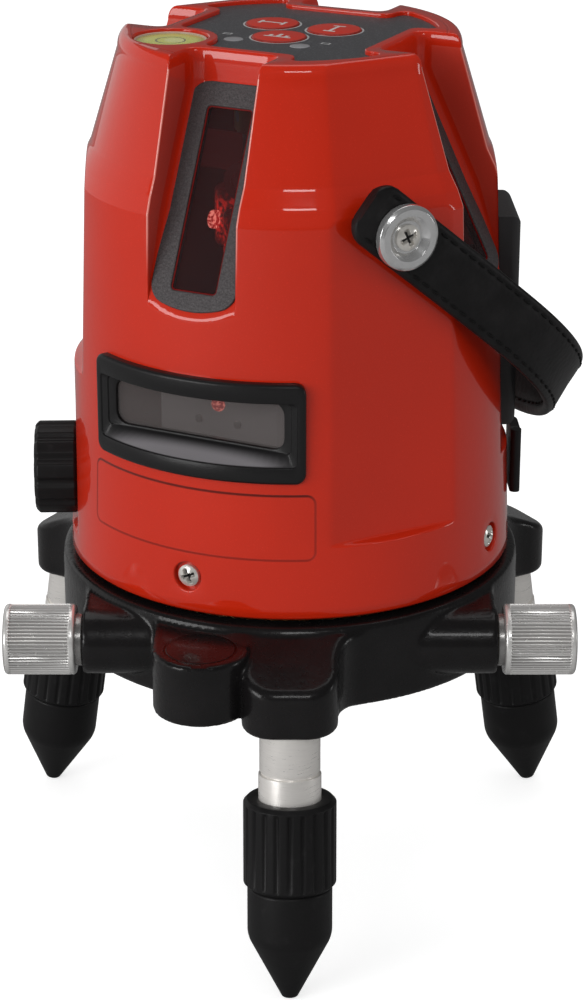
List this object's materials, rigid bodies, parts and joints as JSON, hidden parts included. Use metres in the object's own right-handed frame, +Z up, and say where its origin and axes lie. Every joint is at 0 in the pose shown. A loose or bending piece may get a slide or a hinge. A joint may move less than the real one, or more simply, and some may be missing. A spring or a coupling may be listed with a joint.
{
  "type": "line laser level",
  "caption": "Self-levelling line laser: a red head with slanted window slots, a line window, top keys and a vial turns on a black base with screw legs, fine-drive knobs and a strap.",
  "frame": {"origin": "mouth of the tripod thread, on the turning axis at the base's underside", "axes": "+Z up along the turning axis, the head's front with its line window towards -Y"},
  "size_m": [0.1624, 0.1453, 0.212],
  "materials": {
    "black_cast": "semi-gloss black paint on a casting",
    "red_paint": "gloss red paint",
    "black_plastic": "satin black plastic",
    "foot_black": "matt black plastic",
    "steel": "satin turned steel",
    "aluminium": "bright turned aluminium",
    "brass": "turned brass",
    "nickel": "nickel-plated screws",
    "leather": "black stitched leather",
    "bezel_grey": "textured dark grey plastic",
    "smoked_glass": "smoked clear window",
    "overlay_grey": "printed dark grey film",
    "key_red": "red key",
    "lamp_grey": "grey lamp window",
    "vial_liquid": "yellow-green liquid",
    "clear_plastic": "clear plastic",
    "board_green": "circuit board",
    "cell_wrap": "battery sleeve",
    "magnet": "nickel-plated magnet"
  },
  "bodies": {
    "base": {"base_casting": "black_cast", "boss_plug": "black_cast", "tripod_bush": "brass", "worm_bush_left": "brass", "worm_bush_right": "brass", "leg_post_front": "steel", "leg_post_right": "steel", "leg_post_left": "steel"},
    "fine_drive": {"worm_shaft": "steel", "fine_knob_left": "aluminium", "fine_knob_right": "aluminium", "knob_set_screws": "steel"},
    "drive_wheel": {"worm_wheel": "brass"},
    "head": {"chassis_plate": "aluminium", "spindle_tube": "steel", "spindle_ring": "steel", "clutch_spring": "steel", "head_shell": "red_paint", "slot_bezel_front": "bezel_grey", "slot_bezel_right": "bezel_grey", "slot_bezel_back": "bezel_grey", "slot_bezel_left": "bezel_grey", "slot_glass_front": "smoked_glass", "slot_glass_right": "smoked_glass", "slot_glass_back": "smoked_glass", "slot_glass_left": "smoked_glass", "line_bezel": "black_plastic", "line_glass": "smoked_glass", "shell_screws": "nickel", "key_overlay": "overlay_grey", "led_windows": "lamp_grey", "vial_cup": "black_plastic", "vial_liquid": "vial_liquid", "vial_lens": "clear_plastic", "battery_tray": "black_plastic", "battery_cell": "cell_wrap", "dc_socket": "black_plastic", "circuit_board": "board_green", "gimbal_hanger": "aluminium", "magnet_block": "magnet", "strap_bushes": "steel", "strap_washers": "aluminium", "strap_screws": "nickel"},
    "strap": {"carry_strap": "leather"},
    "lock": {"lock_knob": "black_plastic", "lock_shaft": "steel"},
    "door": {"battery_door": "black_plastic"},
    "charge_cover": {"dc_cover": "black_plastic"},
    "gimbal": {"gimbal_ring": "brass"},
    "plumb": {"pendulum": "aluminium", "laser_modules": "brass"},
    "key_horizontal": {"key_horizontal": "key_red"},
    "key_vertical": {"key_vertical": "key_red"},
    "key_receiver": {"key_receiver": "key_red"},
    "foot_front": {"foot_tip_front": "foot_black"},
    "collar_front": {"levelling_collar_front": "foot_black"},
    "foot_right": {"foot_tip_right": "foot_black"},
    "collar_right": {"levelling_collar_right": "foot_black"},
    "foot_left": {"foot_tip_left": "foot_black"},
    "collar_left": {"levelling_collar_left": "foot_black"}
  },
  "joints": [
    {"name": "worm_spin", "type": "hinge", "parent": "base", "child": "fine_drive", "pos_m": [0.01772, -0.03586, 0.0095], "axis": [0.8965, 0.4431, 0], "continuous": true},
    {"name": "wheel_turn", "type": "hinge", "parent": "base", "child": "drive_wheel", "pos_m": [0, 0, 0.0095], "axis": [0, 0, 1], "continuous": true},
    {"name": "head_turn", "type": "hinge", "parent": "drive_wheel", "child": "head", "pos_m": [0, 0, 0.0205], "axis": [0, 0, 1], "continuous": true},
    {"name": "strap_swing", "type": "hinge", "parent": "head", "child": "strap", "pos_m": [0, 0, 0.1094], "axis": [0.8151, -0.5793, 0], "range_deg": [0, 225]},
    {"name": "lock_turn", "type": "hinge", "parent": "head", "child": "lock", "pos_m": [-0.04556, -0.02422, 0.0383], "axis": [-0.8829, -0.4695, 0], "range_deg": [0, 90]},
    {"name": "door_slide", "type": "slide", "parent": "head", "child": "door", "axis": [0, 0, 1], "range_m": [0, 0.01]},
    {"name": "charge_cover_hinge", "type": "hinge", "parent": "head", "child": "charge_cover", "pos_m": [0.05053, 0.02149, 0.0406], "axis": [0, 0, -1], "range_deg": [0, 100]},
    {"name": "key_horizontal_press", "type": "slide", "parent": "head", "child": "key_horizontal", "axis": [0, 0, -1], "range_m": [0, 0.0004], "stiffness_N_per_m": 600},
    {"name": "key_vertical_press", "type": "slide", "parent": "head", "child": "key_vertical", "axis": [0, 0, -1], "range_m": [0, 0.0004], "stiffness_N_per_m": 600},
    {"name": "key_receiver_press", "type": "slide", "parent": "head", "child": "key_receiver", "axis": [0, 0, -1], "range_m": [0, 0.0004], "stiffness_N_per_m": 600},
    {"name": "gimbal_swing", "type": "hinge", "parent": "head", "child": "gimbal", "pos_m": [0, 0, 0.126], "axis": [0.7071, -0.7071, 0], "range_deg": [-3, 3]},
    {"name": "pendulum_swing", "type": "hinge", "parent": "gimbal", "child": "plumb", "pos_m": [0, 0, 0.126], "axis": [0.7071, 0.7071, 0], "range_deg": [-3, 3]},
    {"name": "foot_front_slide", "type": "slide", "parent": "base", "child": "foot_front", "axis": [0.0693, -0.1402, -0.9877], "range_m": [0, 0.006]},
    {"name": "collar_front_spin", "type": "hinge", "parent": "foot_front", "child": "collar_front", "pos_m": [0.03029, -0.06128, -0.02897], "axis": [-0.0693, 0.1402, 0.9877], "range_deg": [0, 1440]},
    {"name": "foot_right_slide", "type": "slide", "parent": "base", "child": "foot_right", "axis": [0.0868, 0.1301, -0.9877], "range_m": [0, 0.006]},
    {"name": "collar_right_spin", "type": "hinge", "parent": "foot_right", "child": "collar_right", "pos_m": [0.03793, 0.05687, -0.02897], "axis": [-0.0868, -0.1301, 0.9877], "range_deg": [0, 1440]},
    {"name": "foot_left_slide", "type": "slide", "parent": "base", "child": "foot_left", "axis": [-0.1561, 0.0101, -0.9877], "range_m": [0, 0.006]},
    {"name": "collar_left_spin", "type": "hinge", "parent": "foot_left", "child": "collar_left", "pos_m": [-0.06821, 0.00441, -0.02897], "axis": [0.1561, -0.0101, 0.9877], "range_deg": [0, 1440]}
  ],
  "couplings": [
    {"joint": "wheel_turn", "follows": "worm_spin", "ratio": -0.014286},
    {"joint": "foot_front_slide", "follows": "collar_front_spin", "m_per_rad": 0.00023873},
    {"joint": "foot_right_slide", "follows": "collar_right_spin", "m_per_rad": 0.00023873},
    {"joint": "foot_left_slide", "follows": "collar_left_spin", "m_per_rad": 0.00023873}
  ]
}
